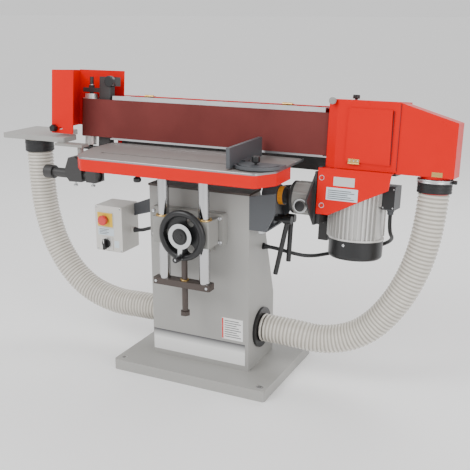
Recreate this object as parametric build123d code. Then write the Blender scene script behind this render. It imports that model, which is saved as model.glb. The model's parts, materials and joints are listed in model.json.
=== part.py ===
from build123d import *
import os
from math import acos, cos, degrees, hypot, pi, radians, sin, tan

# Oscillating edge belt sander with a tilting head.
# Origin: centre of the base underside. X runs along the belt, -Y faces the operator, +Z is up.

os.makedirs("parts", exist_ok=True)

# ---------------------------------------------------------------- driving dimensions, mm
base_length = 636
base_depth = 470
base_height = 42
base_bolt_inset = 29
base_bolt_r = 7

column_x0 = -210
column_x1 = 200
column_front = -112
column_rear = 118
column_top_rear = -16
column_shoulder = 288
column_top = 718
column_sheet = 4

duct_z = 182
duct_r = 49.7
duct_wall = 2.7
hose_r = 54
hose_wall = 4
cuff_r = 58
cuff_bore = 54.3

rod_r = 20
rod_y = -198
rod_left_x = -98
rod_right_x = 66
spindle_x = -17
spindle_r = 11
wheel_x = 4
wheel_z = 584
wheel_r = 92

table_z = 830
table_plate = 8
apron_height = 51
apron_sheet = 4
table_outline = [(-495, 76), (-497, -60), (-462, -205), (-418, -250), (283, -250), (330, -175), (330, 76)]

small_table_z = 858
small_table_outline = [(-945, -62), (-634, -62), (-634, 22), (-664, 34), (-722, 34), (-722, 150), (-945, 150)]
small_table_depth = 20
port_x = -812
port_y = 5

# The belt head is modelled upright, then leaned back about the tilt axis.
tilt_y = 20
tilt_z = 700
lean_angle = 6

belt_y = 42
belt_z0 = 854
belt_width = 150
belt_thick = 1.5
roller_x = -615
roller_r = 37
drum_x = 533
drum_r = 60
roller_y = belt_y + roller_r
drum_y = belt_y + drum_r

hood_x0 = 423
hood_x1 = 677
hood_y0 = 22
hood_y1 = 178
hood_z0 = 816
hood_z1 = 1052
sheet = 3
chute_x1 = 869
chute_y0 = 25
chute_y1 = 126
outlet_x = 800
outlet_y = 75

motor_r = 106
motor_top = 792
motor_bottom = 563
fan_bottom = 493

made = {}


# ---------------------------------------------------------------- small helpers
def block(x0, x1, y0, y1, z0, z1):
    return Pos((x0 + x1) / 2, (y0 + y1) / 2, (z0 + z1) / 2) * Box(x1 - x0, y1 - y0, z1 - z0)


def rod_x(y, z, x0, x1, r):
    return Pos((x0 + x1) / 2, y, z) * Rot(0, 90, 0) * Cylinder(r, x1 - x0)


def rod_along_y(x, z, y0, y1, r):
    return Pos(x, (y0 + y1) / 2, z) * Rot(90, 0, 0) * Cylinder(r, y1 - y0)


def rod_z(x, y, z0, z1, r):
    return Pos(x, y, (z0 + z1) / 2) * Cylinder(r, z1 - z0)


def tube_z(x, y, z0, z1, r_out, r_in):
    return rod_z(x, y, z0, z1, r_out) - rod_z(x, y, z0 - 1, z1 + 1, r_in)


def plate_xz(points, y0, y1):
    face = make_face(Polyline(*points, close=True))
    return Pos(0, y1, 0) * Rot(90, 0, 0) * extrude(face, y1 - y0)


def plate_xy(points, z0, z1):
    face = make_face(Polyline(*points, close=True))
    return Pos(0, 0, z0) * extrude(face, z1 - z0)


def plate_yz(points, x0, x1):
    face = Plane.YZ * make_face(Polyline(*points, close=True))
    return Pos(x0, 0, 0) * extrude(face, x1 - x0, dir=(1, 0, 0))


def keep(name, shape):
    made[name] = shape


def lean(shape):
    return Pos(0, tilt_y, tilt_z) * Rot(-lean_angle, 0, 0) * Pos(0, -tilt_y, -tilt_z) * shape


def keep_head(name, shape):
    made[name] = lean(shape)


def leaned_point(x, y, z):
    turn = radians(lean_angle)
    dy = y - tilt_y
    dz = z - tilt_z
    return (x, tilt_y + dy * cos(turn) + dz * sin(turn), tilt_z - dy * sin(turn) + dz * cos(turn))


def hex_head(x, y, z0, z1, across):
    return Pos(x, y, z0) * extrude(RegularPolygon(across / 2, 6), z1 - z0)


def hex_head_y(x, z, y0, y1, across):
    return Pos(x, y1, z) * Rot(90, 0, 0) * extrude(RegularPolygon(across / 2, 6), y1 - y0)


def cord_path(points):
    """Straight runs joined by tangent arcs; each arc is as large as its two runs allow."""
    radii = []
    for a, b, c in zip(points, points[1:], points[2:]):
        first = Vector(*b) - Vector(*a)
        second = Vector(*c) - Vector(*b)
        turn = radians(first.get_angle(second))
        radii.append(0.45 * min(first.length, second.length) / tan(turn / 2))
    return FilletPolyline(*[Vector(*p) for p in points], radius=radii), radii


def cord(name, points, r_out, r_in=0):
    path, radii = cord_path(points)
    start = Plane(origin=path @ 0, z_dir=path % 0)
    section = Circle(r_out)
    if r_in:
        section = section - Circle(r_in)
    tube = sweep(start * section, path=path)
    area = pi * (r_out**2 - r_in**2)
    print(name, "length", round(path.length, 1), "radii", [round(r) for r in radii],
          "volume ratio", round(tube.volume / (area * path.length), 4))
    keep(name, tube)


# ---------------------------------------------------------------- base and column
def base_pan():
    half_x = base_length / 2
    half_y = base_depth / 2
    pan = block(-half_x, half_x, -half_y, half_y, 0, base_height)
    pan = fillet(pan.edges().filter_by(Axis.Z), 10)
    pan -= block(-half_x + 6, half_x - 6, -half_y + 6, half_y - 6, -1, base_height - 6)
    for x in (-150, 150):
        pan += block(x - 3, x + 3, -half_y + 5, half_y - 5, 2, base_height - 5)
    for sx in (-1, 1):
        for sy in (-1, 1):
            x = sx * (half_x - base_bolt_inset)
            y = sy * (half_y - base_bolt_inset)
            pan -= rod_z(x, y, base_height - 10, base_height + 1, base_bolt_r)
    return pan


def column_profile(inset):
    return [(column_front + inset, base_height + inset * 0.5),
            (column_rear - inset, base_height + inset * 0.5),
            (column_rear - inset, column_shoulder),
            (column_top_rear - inset, column_top - inset * 0.5),
            (column_front + inset, column_top - inset * 0.5)]


def column():
    shell = plate_yz(column_profile(0), column_x0, column_x1)
    hollow = [(column_front + column_sheet, base_height - 1),
              (column_rear - column_sheet, base_height - 1),
              (column_rear - column_sheet, column_shoulder),
              (column_top_rear - column_sheet, column_top + 1),
              (column_front + column_sheet, column_top + 1)]
    shell -= plate_yz(hollow, column_x0 + column_sheet, column_x1 - column_sheet)
    shell -= rod_x(0, duct_z, column_x0 - 1, column_x1 + 1, 74)
    shell -= rod_along_y(-5, duct_z, 100, 130, 52)
    shell -= rod_x(15, 500, column_x1 - 10, column_x1 + 1, 13)
    shell -= rod_x(-20, 530, column_x0 - 1, column_x0 + 10, 13)
    return shell


def column_cap():
    return block(column_x0 - 3, column_x1 + 3, column_front - 4, column_top_rear + 3, column_top, column_top + 8)


def dust_manifold():
    rear_end = column_rear + 40
    run = rod_x(0, duct_z, column_x0 - 30, column_x1 + 30, duct_r)
    branch = rod_along_y(-5, duct_z, 0, rear_end, duct_r - 0.6)
    branch += rod_along_y(-5, duct_z, column_rear + 2, rear_end, duct_r)
    run_bore = rod_x(0, duct_z, column_x0 - 31, column_x1 + 31, duct_r - duct_wall)
    branch_bore = rod_along_y(-5, duct_z, 0, rear_end + 1, duct_r - duct_wall)
    duct = run + branch - run_bore - branch_bore
    for x in (column_x0 - 24, column_x1 + 18):
        duct += block(x, x + 6, -duct_r + 1, duct_r - 1, duct_z - 3, duct_z + 3)
        duct += block(x, x + 6, -3, 3, duct_z - duct_r + 1, duct_z + duct_r - 1)
    return duct


def hose_collar(x0, x1):
    ring = rod_x(0, duct_z, x0, x1, 77)
    return ring - rod_x(0, duct_z, x0 - 1, x1 + 1, cuff_bore)


# ---------------------------------------------------------------- height adjustment
def lift_housing():
    body = block(-185, 116, -150, column_front, 528, 650)
    body = fillet(body.edges().filter_by(Axis.Y), 12)
    body += block(-60, 60, -150, column_front, 500, 540)
    for x in (rod_left_x, rod_right_x):
        guide = block(x - 32, x + 32, -228, -149, 540, 636)
        body += fillet(guide.edges().filter_by(Axis.Z), 6)
    body += block(-70, 40, -226, -149, 548, 630)
    for x in (rod_left_x, rod_right_x):
        body -= rod_z(x, rod_y, 490, 700, rod_r + 0.05)
    body -= rod_z(spindle_x, rod_y, 490, 700, spindle_r + 0.3)
    body -= block(spindle_x - 19, spindle_x + 34, -224, -176, 568, 600)
    body -= rod_along_y(wheel_x, wheel_z, -240, -160, 8.05)
    return body


def lift_yoke():
    bar = block(-140, 94, -219, -176, 376, 400)
    bar = fillet(bar.edges().filter_by(Axis.Z), 6)
    for x in (rod_left_x, rod_right_x):
        bar -= rod_z(x, rod_y, 380, 401, rod_r)
    return bar - rod_z(spindle_x, rod_y, 370, 405, spindle_r + 0.08)


def table_rod(x):
    return rod_z(x, rod_y, 380, table_z - table_plate - 14, rod_r)


def table_foot():
    foot = block(-150, 118, -230, -160, table_z - table_plate - 14, table_z - table_plate)
    for x in (rod_left_x, rod_right_x):
        foot += rod_z(x, rod_y, table_z - table_plate - 40, table_z - table_plate - 14, 32)
        foot -= rod_z(x, rod_y, 700, table_z - table_plate - 14, rod_r)
    return foot


def spindle():
    screw = rod_z(spindle_x, rod_y, 281, 640, spindle_r)
    screw += hex_head(spindle_x, rod_y, 265, 281, 38)
    return screw


def handwheel():
    rim = Pos(wheel_x, -247, wheel_z) * Rot(90, 0, 0) * Torus(wheel_r - 12, 12)
    dish = Pos(wheel_x, 0, wheel_z) * Rot(90, 0, 0) * Pos(0, 0, 236) * Cylinder(wheel_r - 14, 10)
    hub = rod_along_y(wheel_x, wheel_z, -262, -233, 30)
    wheel = rim + dish + hub
    for i in range(3):
        turn = Rot(0, 120 * i + 60, 0)
        window = Pos(wheel_x, 0, wheel_z) * turn * Pos(56, -236, 0) * Rot(90, 0, 0) * Cylinder(17, 40)
        wheel -= window
    return wheel - rod_along_y(wheel_x, wheel_z, -270, -220, 8)


def handwheel_ring():
    ring = rod_along_y(wheel_x, wheel_z, -265, -262, 46)
    ring -= rod_along_y(wheel_x, wheel_z, -266, -261, 30.2)
    arm = block(wheel_x - 9, wheel_x + 9, -265, -262, wheel_z - 84, wheel_z - 42)
    return ring + arm


def crank_pin():
    return rod_along_y(wheel_x, wheel_z - 76, -300, -265, 5)


def crank_grip():
    grip = Pos(wheel_x, 0, wheel_z - 76) * Rot(90, 0, 0) * Pos(0, 0, 285) * Cylinder(11, 36)
    grip = fillet(grip.edges(), 5)
    return grip - rod_along_y(wheel_x, wheel_z - 76, -310, -262, 5.05)


def handwheel_shaft():
    gear = rod_along_y(wheel_x, wheel_z, -206, -190, 9.8)
    return gear + rod_along_y(wheel_x, wheel_z, -258, -178, 8)


# ---------------------------------------------------------------- main table
def table_face(grow, z0, z1, fillet_r):
    plate = plate_xy(table_outline, z0, z1)
    plate = fillet(plate.edges().filter_by(Axis.Z), fillet_r)
    if grow:
        plate = offset(plate, grow)
    return plate


def table_top():
    plate = table_face(0, table_z - table_plate, table_z, 24)
    top_edges = plate.faces().sort_by(Axis.Z)[-1].edges()
    plate = chamfer(top_edges, 1.2)
    return plate - block(-400, 296, -150, -129, table_z - 4, table_z + 1)


def table_apron():
    outer = plate_xy(table_outline, table_z - apron_height, table_z - table_plate)
    outer = fillet(outer.edges().filter_by(Axis.Z), 24)
    profile = outer.faces().sort_by(Axis.Z)[0]
    inner = offset(Sketch() + Face(profile.outer_wire()), -apron_sheet)
    hollow = extrude(inner, amount=apron_height + 20, dir=(0, 0, 1))
    hollow = Pos(0, 0, -5) * hollow
    outer -= hollow
    outer -= block(-480, 316, 60, 90, table_z - apron_height - 1, table_z - 14)
    return outer - block(316, 340, -52, 90, table_z - apron_height - 1, table_z - table_plate + 1)


# ---------------------------------------------------------------- mitre gauge on the table
def mitre_bar():
    return block(150, 290, -149.5, -129.5, table_z - 3.7, table_z + 4)


def mitre_quadrant():
    disc = rod_z(252, -140, table_z + 4, table_z + 14, 92)
    disc -= block(100, 400, -140, -20, table_z, table_z + 30)
    groove = tube_z(252, -140, table_z + 11, table_z + 20, 84, 76)
    groove -= block(100, 400, -152, -20, table_z, table_z + 30)
    disc += block(160, 344, -140, -128, table_z + 4, table_z + 14)
    return disc - groove


def mitre_fence():
    fence = block(168, 182, -230, 36, table_z + 4.2, table_z + 74)
    fence += block(182, 196, -140, -60, table_z + 14.2, table_z + 20)
    return fence


def mitre_knob():
    knob = rod_z(252, -172, table_z + 22, table_z + 44, 14)
    knob = fillet(knob.edges(), 4)
    return knob + rod_z(252, -172, table_z + 14.1, table_z + 22, 5)


# ---------------------------------------------------------------- small table at the roller end
def small_table_pan():
    z0 = small_table_z - small_table_depth
    pan = plate_xy(small_table_outline, z0, small_table_z)
    pan = fillet(pan.edges().filter_by(Axis.Z), 7)
    rim = offset(make_face(Polyline(*small_table_outline, close=True)), -4)
    pan -= Pos(0, 0, z0 - 1) * extrude(rim, small_table_depth - 3)
    floor = Pos(0, 0, z0) * extrude(rim, 2)
    spigot = rod_z(port_x, port_y, 786, z0 + 2, duct_r)
    pan += floor + spigot
    return pan - rod_z(port_x, port_y, 780, z0 + 3, duct_r - duct_wall)


def support_bracket():
    bar = block(-664, -532, -82, -38, 828, 838)
    return bar - rod_z(-556, -60, 820, 834, 12)


def support_post():
    return rod_z(-556, -60, 738, 834, 12)


def arm_bar():
    bar = rod_x(-60, 716, -690, -477, 19)
    bar += rod_x(-60, 716, -732, -690, 27)
    return fillet(bar.faces().sort_by(Axis.X)[0].edges(), 3)


def post_clamp():
    outline = [(-616, 742), (-598, 786), (-566, 790), (-538, 770), (-538, 692), (-598, 690), (-616, 712)]
    clamp = plate_xz(outline, -88, -32)
    clamp -= rod_x(-60, 716, -700, -500, 19.02)
    return clamp - rod_z(-556, -60, 734, 800, 12.02)


def arm_clamp():
    clamp = block(-516, -470, -90, -30, 694, 750)
    clamp += block(-478, -430, -84, -36, 740, table_z - table_plate)
    return clamp - rod_x(-60, 716, -520, -470, 19.02)


def thumbscrew(x, z_top):
    screw = rod_z(x, -60, z_top - 14, z_top, 4)
    screw += fillet(rod_z(x, -60, z_top - 22, z_top - 14, 9).edges(), 2)
    return screw


# ---------------------------------------------------------------- switch box
def switch_box():
    box = block(-474, -350, -80, 18, 428, 611)
    box = fillet(box.edges().filter_by(Axis.Y), 5)
    return box - block(-470, -354, -81, 14, 432, 607)


def switch_cover():
    cover = block(-474, -350, -98, -80, 428, 611)
    cover = fillet(cover.edges().filter_by(Axis.Y), 5)
    cover -= block(-470, -354, -95, -79, 432, 607)
    cover -= rod_along_y(-428, 556, -99, -90, 12.3)
    return cover - rod_along_y(-423, 460, -99, -90, 8.3)


def switch_arm():
    arm = plate_xz([(-352, 560), (-352, 607), (-214, 661), (-214, 600)], -8, 0)
    arm += block(-214, -210, -40, 0, 598, 662)
    return arm + rod_x(-28, 508, -350, -338, 11)


def estop_plate():
    plate = block(-462, -390, -101, -98, 527, 585)
    plate = fillet(plate.edges().filter_by(Axis.Y), 6)
    return plate - rod_along_y(-428, 556, -102, -97, 12.3)


def estop_button():
    head = Pos(-428, 0, 556) * Rot(90, 0, 0) * Pos(0, 0, 116) * Cylinder(20, 14)
    head = fillet(head.faces().sort_by(Axis.Y)[0].edges(), 5)
    return head + rod_along_y(-428, 556, -109, -84, 12)


def mode_plate():
    plate = block(-452, -394, -100.5, -98, 433, 487)
    return plate - rod_along_y(-423, 460, -102, -97, 8.3)


def mode_knob():
    disc = rod_along_y(-423, 460, -108, -101, 18)
    handle = block(-428, -418, -122, -108, 438, 482)
    handle = fillet(handle.edges().filter_by(Axis.Y), 4)
    return disc + handle + rod_along_y(-423, 460, -101, -86, 8)


# ---------------------------------------------------------------- tilt bearing at the column
def tilt_bracket():
    face = [(200, 600), (268, 600), (288, 640), (300, 668), (300, 735), (200, 715)]
    plate = plate_xz(face, -112, -104)
    plate += plate_xz(face, 60, 68)
    plate += block(200, 268, -112, 68, 594, 600)
    plate += block(200, 208, -104, 60, 600, 668)
    arch = block(206, 262, -34, 60, 600, 700) + rod_x(tilt_y, tilt_z, 206, 262, 40)
    arch = arch & block(206, 262, -34, 60, 600, 745)
    plate += arch
    return plate - rod_x(tilt_y, tilt_z, 190, 320, 28.05)


def clamp_bolt():
    bolt = rod_z(226, -60, 578, 706, 8)
    return bolt + hex_head(226, -60, 572, 588, 26) + hex_head(226, -60, 696, 710, 26)


def tilt_shaft():
    return rod_x(tilt_y, tilt_z, 202, 302, 28)


def scale_ring():
    ring = rod_x(tilt_y, tilt_z, 264, 284, 33)
    return ring - rod_x(tilt_y, tilt_z, 260, 290, 28)


def tilt_disc():
    cone = Pos(311, tilt_y, tilt_z) * Rot(0, 90, 0) * Cone(34, 59, 18)
    return cone + rod_x(tilt_y, tilt_z, 320, 330, 59)


def lock_lever(y, tip):
    path = Line((311, y, 622), tip)
    plane = Plane(origin=path @ 0, z_dir=path % 0)
    lever = sweep(plane * Circle(9), path=path)
    hub = rod_x(y, 622, 262, 296, 9) + rod_x(y, 622, 296, 326, 15)
    return lever + hub


# ---------------------------------------------------------------- cradle: what tilts
def gearbox():
    body = rod_x(tilt_y, tilt_z, 330, 392, 58)
    for i in range(8):
        turn = radians(45 * i + 22.5)
        y = tilt_y + 55 * cos(turn)
        z = tilt_z + 55 * sin(turn)
        body += rod_x(y, z, 332, 390, 7)
    body += rod_along_y(366, 678, -44, 30, 25)
    return body


def gearbox_cap():
    return fillet(rod_along_y(366, 678, -50, -44, 20).edges(), 2)


def gearbox_flange():
    half = 94
    points = [(tilt_y - half, tilt_z), (tilt_y, tilt_z - half), (tilt_y + half, tilt_z), (tilt_y, tilt_z + half)]
    plate = plate_yz(points, 392, 399)
    return fillet(plate.edges().filter_by(Axis.X), 10)


def guide_plate():
    return block(399, 407.5, -4, 100, 610, 800)


# ---------------------------------------------------------------- head: what oscillates
def carriage_plate():
    return block(408, 420, 10, 176, 612, 818)


def motor_plate():
    plate = block(420, 676, 28, 176, 804, 816)
    return plate - rod_z(drum_x, drum_y, 800, 820, 42)


def motor_skirt():
    front = plate_xz([(412, 652), (458, 652), (664, 757), (672, 815), (412, 815)], -9, -6)
    side = block(420, 423, -6, 100, 652, 803)
    ledge = block(420.5, 672, -6, 28, 812, 815)
    for x, z in ((427, 781), (432, 684)):
        front += hex_head_y(x, z, -14, -9, 14)
    return front + side + ledge


def slide_bar():
    bar = block(420, 425, 102, 150, 540, 803)
    bar += block(408, 420, 98, 150, 540, 613)
    return bar + block(390, 424, 98, 112, 540, 603)


def head_beam():
    beam = block(-520, 408, 134, 170, 790, 846)
    return beam - block(-521, 409, 139, 165, 795, 841)


def belt_plate():
    plate = block(-498, 420, 46, 170, 846, 851)
    return plate + block(-498, -440, 60, 100, 851, 905)


def tension_bar():
    return rod_x(80, 878, -548, -498, 10)


def end_gusset():
    return plate_xz([(336, 846), (408, 846), (408, 762)], 118, 132)


def platen():
    plate = block(-490, 405, 45.5, 51.5, 851, 1020)
    plate += block(-490, 405, 51.5, 112, 1016, 1020)
    for x in (-400, -140, 120, 380):
        plate += plate_yz([(51.5, 851), (100, 851), (100, 870), (51.5, 990)], x - 3, x + 3)
    return plate


def graphite_pad():
    return block(-488, 403, 43.7, 45.5, 856, 1002)


def belt_loop_face(extra):
    """Closed belt outline round the roller and the drum, in plan."""
    span = drum_x - roller_x
    rise = drum_y - roller_y
    rc = roller_r + extra
    rd = drum_r + extra
    length = hypot(span, rise)
    base = degrees(acos((rc - rd) / length))
    slope = degrees(acos(span / length)) * (1 if rise > 0 else -1)
    pieces = []
    for side in (-1, 1):
        angle = radians(slope + side * base)
        pieces.append(((roller_x + rc * cos(angle), roller_y + rc * sin(angle)),
                       (drum_x + rd * cos(angle), drum_y + rd * sin(angle))))
    low, high = pieces
    edges = [Line(low[0], low[1]),
             ThreePointArc(low[1], (drum_x + rd, drum_y), high[1]),
             Line(high[1], high[0]),
             ThreePointArc(high[0], (roller_x - rc, roller_y), low[0])]
    return make_face(Wire(edges))


def sanding_belt():
    ring = belt_loop_face(0) - belt_loop_face(-belt_thick)
    return Pos(0, 0, belt_z0) * extrude(ring, belt_width)


def drive_drum():
    drum = rod_z(drum_x, drum_y, belt_z0 - 3, belt_z0 + belt_width + 3, drum_r - belt_thick - 0.2)
    drum -= rod_z(drum_x, drum_y, 930, belt_z0 + belt_width + 10, 44)
    drum -= rod_z(drum_x, drum_y, 800, 900, 44)
    drum += rod_z(drum_x, drum_y, 856, 1000, 22)
    return drum - rod_z(drum_x, drum_y, 800, 1010, 12)


def motor_shaft():
    return rod_z(drum_x, drum_y, fan_bottom + 8, 1000, 12)


def idler_roller():
    roller = rod_z(roller_x, roller_y, belt_z0 - 2, belt_z0 + belt_width + 2, roller_r - belt_thick - 0.2)
    roller += rod_z(roller_x, roller_y, belt_z0 + belt_width + 2, belt_z0 + belt_width + 20, 27)
    roller += rod_z(roller_x, roller_y, 818, belt_z0 - 2, 24)
    return roller - rod_z(roller_x, roller_y, 800, 1040, 8.05)


def idler_shaft():
    return rod_z(roller_x, roller_y, 788, 1092, 8)


def idler_post():
    post = block(-568, -512, 62, 98, 798, 1094)
    post = fillet(post.edges().filter_by(Axis.Z), 6)
    post += block(-646, -560, 63, 95, 1030, 1048)
    post += block(-646, -560, 63, 95, 798, 812)
    post += block(-520, -488, 62, 98, 1058, 1094)
    post += rod_along_y(-502, 1076, 54, 62, 7)
    post += idler_shaft()
    post += hex_head(roller_x, roller_y, 1048, 1058, 26) + hex_head(roller_x, roller_y, 789, 798, 26)
    return post - rod_x(80, 878, -562, -511, 10.05)


def tracking_knob():
    knob = rod_along_y(-502, 1076, 32, 54, 22)
    knob = fillet(knob.edges(), 3)
    return knob


def rear_cover():
    cover = block(-488, 392, 118, 176, 1021, 1024)
    cover += block(-488, 392, 173, 176, 868, 1021)
    return cover


def strap_hinge(x, y, z):
    knuckle = rod_x(y, z, x - 20, x + 20, 4)
    return knuckle + block(x - 20, x + 20, y + 2, y + 16, z - 2, z - 0.5)


def guard_shell():
    left = plate_yz([(-44, 864), (10, 878), (134, 892), (134, 1118), (-44, 1112)], -717, -714)
    back = block(-714, -493, 131, 134, 892, 1120) + block(-519, -500, 131, 134, 800, 892)
    flange = block(-714, -690, -44, -41, 866, 1112) - rod_along_y(-700, 882, -50, -40, 4.05)
    return left + back + flange


def guard_panel():
    panel = block(-717, -612, -47.5, -44.5, 863, 1112)
    panel = fillet(panel.edges().filter_by(Axis.Y), 3)
    slot = rod_along_y(-700, 882, -52, -40, 4.5) + rod_along_y(-668, 882, -52, -40, 4.5)
    slot += block(-700, -668, -52, -40, 877.5, 886.5)
    return panel - slot


def guard_knob():
    knob = rod_along_y(-700, 882, -68, -48, 12)
    for i in range(5):
        turn = radians(72 * i + 90)
        knob += rod_along_y(-700 + 9 * cos(turn), 882 + 9 * sin(turn), -66, -50, 6)
    return knob + rod_along_y(-700, 882, -48, -41, 4)


# ---------------------------------------------------------------- hood, door and dust chute
def hood():
    outer = [(hood_x0, 34), (hood_x0 + 35, hood_y0), (hood_x1, hood_y0), (hood_x1, hood_y1), (hood_x0, hood_y1)]
    shell = plate_xy(outer, hood_z0, hood_z1)
    inner = [(hood_x0 - 1, 34 + sheet + 0.5), (hood_x0 + 36, hood_y0 + sheet), (hood_x1 - sheet, hood_y0 + sheet),
             (hood_x1 - sheet, hood_y1 - sheet), (hood_x0 - 1, hood_y1 - sheet)]
    shell -= plate_xy(inner, hood_z0 - 1, hood_z1 - sheet)
    shell -= block(hood_x1 - 10, hood_x1 + 1, 45, 112, 860, 990)
    return shell - block(512, 640, hood_y0 - 1, hood_y0 + 4, 856, 1012)


def hood_door():
    door = plate_xz([(497, 842), (655, 838), (652, 1024), (500, 1026)], 16, 21.5)
    door += block(509, 549, 14, 16.5, 836, 852)
    return door + rod_x(15.5, 836, 509, 549, 3)


def chute():
    outer = [(hood_x1 - 1, 812), (chute_x1, 812), (chute_x1, 994), (hood_x1 - 1, 1050)]
    inner = [(hood_x1 - 5, 815), (chute_x1 - 3, 815), (chute_x1 - 3, 991.8), (hood_x1 - 5, 1048)]
    shell = plate_xz(outer, chute_y0, chute_y1)
    shell -= plate_xz(inner, chute_y0 + 3, chute_y1 - 3)
    return shell - rod_z(outlet_x, outlet_y, 800, 825, duct_r - duct_wall)


def chute_spigot():
    ring = rod_z(outlet_x, outlet_y, 754, 813.5, duct_r)
    return ring - rod_z(outlet_x, outlet_y, 750, 820, duct_r - duct_wall)


def hose_cuff(x, y, z0, z1):
    return tube_z(x, y, z0, z1, cuff_r, cuff_bore)


def hose_clamp(x, y, z):
    band = tube_z(x, y, z - 6, z + 6, cuff_r + 2.5, cuff_r - 1)
    lug = block(x + cuff_r, x + cuff_r + 15, y - 12, y + 6, z - 6, z + 6)
    lug += rod_along_y(x + cuff_r + 9, z, y - 22, y - 12, 4)
    return band + lug


def hood_knob(x, y, z0):
    knob = rod_z(x, y, z0 + 4, z0 + 18, 12.5)
    knob = fillet(knob.edges(), 3)
    return knob + rod_z(x, y, z0, z0 + 4, 5)


def side_knob():
    knob = rod_along_y(440, hood_z1 - 6, 6, 20, 12.5)
    return fillet(knob.edges(), 3) + rod_along_y(440, hood_z1 - 6, 20, 26.5, 4)


# ---------------------------------------------------------------- motor
def motor_body():
    core = rod_z(drum_x, drum_y, motor_bottom, motor_top, motor_r - 13)
    core += rod_z(drum_x, drum_y, motor_top - 14, motor_top, motor_r - 2)
    core += rod_z(drum_x, drum_y, motor_bottom, motor_bottom + 8, motor_r - 8)
    for i in range(40):
        angle = 9 * i
        if 28 < angle < 332:
            fin = Pos(motor_r - 9, 0, (motor_top + motor_bottom) / 2 - 3) * Box(18, 3, motor_top - motor_bottom - 22)
            core += Pos(drum_x, drum_y, 0) * Rot(0, 0, angle) * fin
    core += block(606, 628, 62, 142, 690, 756)
    return core - rod_z(drum_x, drum_y, motor_bottom - 1, motor_top + 1, 12.05)


def motor_flange():
    flange = rod_z(drum_x, drum_y, motor_top, 804, 100)
    return flange - rod_z(drum_x, drum_y, 780, 820, 12.05)


def fan_cover():
    cover = rod_z(drum_x, drum_y, fan_bottom, motor_bottom, 97)
    cover = fillet(cover.faces().sort_by(Axis.Z)[0].edges(), 16)
    inner = rod_z(drum_x, drum_y, fan_bottom + 2.5, motor_bottom + 1, 94.5)
    inner = fillet(inner.faces().sort_by(Axis.Z)[0].edges(), 14)
    cover -= inner
    for ring_r, count in ((24, 8), (42, 14), (60, 20)):
        for i in range(count):
            turn = 2 * pi * i / count
            cover -= rod_z(drum_x + ring_r * cos(turn), drum_y + ring_r * sin(turn), fan_bottom - 1, fan_bottom + 4, 3.4)
    return cover


def cooling_fan():
    fan = rod_z(drum_x, drum_y, 520, 550, 24)
    for i in range(7):
        fan += Pos(drum_x, drum_y, 535) * Rot(0, 0, 360 * i / 7) * Pos(50, 0, 0) * Box(60, 3, 26)
    return fan - rod_z(drum_x, drum_y, 500, 560, 12)


def terminal_box():
    box = block(628, 672, 58, 148, 681, 764)
    return fillet(box.edges().filter_by(Axis.X), 5)


def cable_gland():
    gland = hex_head(650, 103, 671, 681, 26) + rod_z(650, 103, 661, 671, 11)
    return gland - rod_z(650, 103, 655, 682, 7)


# ---------------------------------------------------------------- free hoses and cables
right_hose_route = [leaned_point(outlet_x, outlet_y, 804), leaned_point(outlet_x, outlet_y, 692),
                    (772, 62, 505), (700, 50, 338), (592, 36, 212), (455, 16, 166), (325, 0, 182), (210, 0, 182)]
left_hose_route = [(port_x, port_y, 834), (port_x, port_y, 705), (-799, 3, 520), (-735, 1, 348),
                   (-612, 0, 220), (-455, 0, 176), (-335, 0, 182), (-220, 0, 182)]
motor_cable_route = [(204, 15, 500), (246, 15, 500), (305, 28, 484), (368, 62, 468), (430, 140, 470),
                     (510, 204, 482), (590, 206, 500), (652, 160, 545), leaned_point(650, 103, 600),
                     leaned_point(650, 103, 661)]
switch_cable_route = [(-338, -28, 508), (-310, -28, 508), (-276, -24, 519), (-241, -20, 530), (-214, -20, 530)]

cord("right_hose", right_hose_route, hose_r, hose_r - hose_wall)
cord("left_hose", left_hose_route, hose_r, hose_r - hose_wall)
cord("motor_cable", motor_cable_route, 7)
cord("switch_cable", switch_cable_route, 7)

# ---------------------------------------------------------------- build the nodes
keep("base_pan", base_pan())
keep("column", column())
keep("column_cap", column_cap())
keep("dust_manifold", dust_manifold())
right_seal = rod_x(15, 500, column_x1 - 4, column_x1 + 4, 12.8)
left_seal = rod_x(-20, 530, column_x0 - 4, column_x0 + 4, 12.8)
rings = hose_collar(column_x1, column_x1 + 9) + hose_collar(column_x0 - 9, column_x0)
keep("side_rings", rings + right_seal + left_seal)
keep("lift_housing", lift_housing())
keep("tilt_bracket", tilt_bracket() + clamp_bolt() + scale_ring())
keep("switch_box", switch_box() + switch_cover() + switch_arm() + estop_plate() + mode_plate())

keep("handwheel", handwheel())
keep("handwheel_shaft", handwheel_shaft() + handwheel_ring() + crank_pin())
keep("crank_grip", crank_grip())
keep("lift_spindle", spindle())

keep("table_top", table_top())
keep("table_apron", table_apron())
keep("lift_rods", table_rod(rod_left_x) + table_rod(rod_right_x) + table_foot())
keep("lift_yoke", lift_yoke())
keep("small_table", small_table_pan())
keep("support_post", support_bracket() + support_post())
keep("arm_clamps", post_clamp() + arm_clamp())
keep("arm_bar", arm_bar())
keep("left_cuff", hose_cuff(port_x, port_y, 786, 832))
keep("mitre_gauge", mitre_bar() + mitre_quadrant() + mitre_fence())
keep("mitre_knob", mitre_knob())
keep("post_thumbscrew", thumbscrew(-588, 690))
keep("arm_thumbscrew", thumbscrew(-503, 694))
keep("estop_button", estop_button())
keep("mode_knob", mode_knob())
keep("lock_lever", lock_lever(-22, (266, -22, 412)))
keep("index_lever", lock_lever(12, (303, 12, 457)))

keep_head("tilt_shaft", tilt_shaft() + tilt_disc())
keep_head("gearbox", gearbox() + gearbox_cap())
keep_head("guide_plate", gearbox_flange() + guide_plate())

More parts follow.
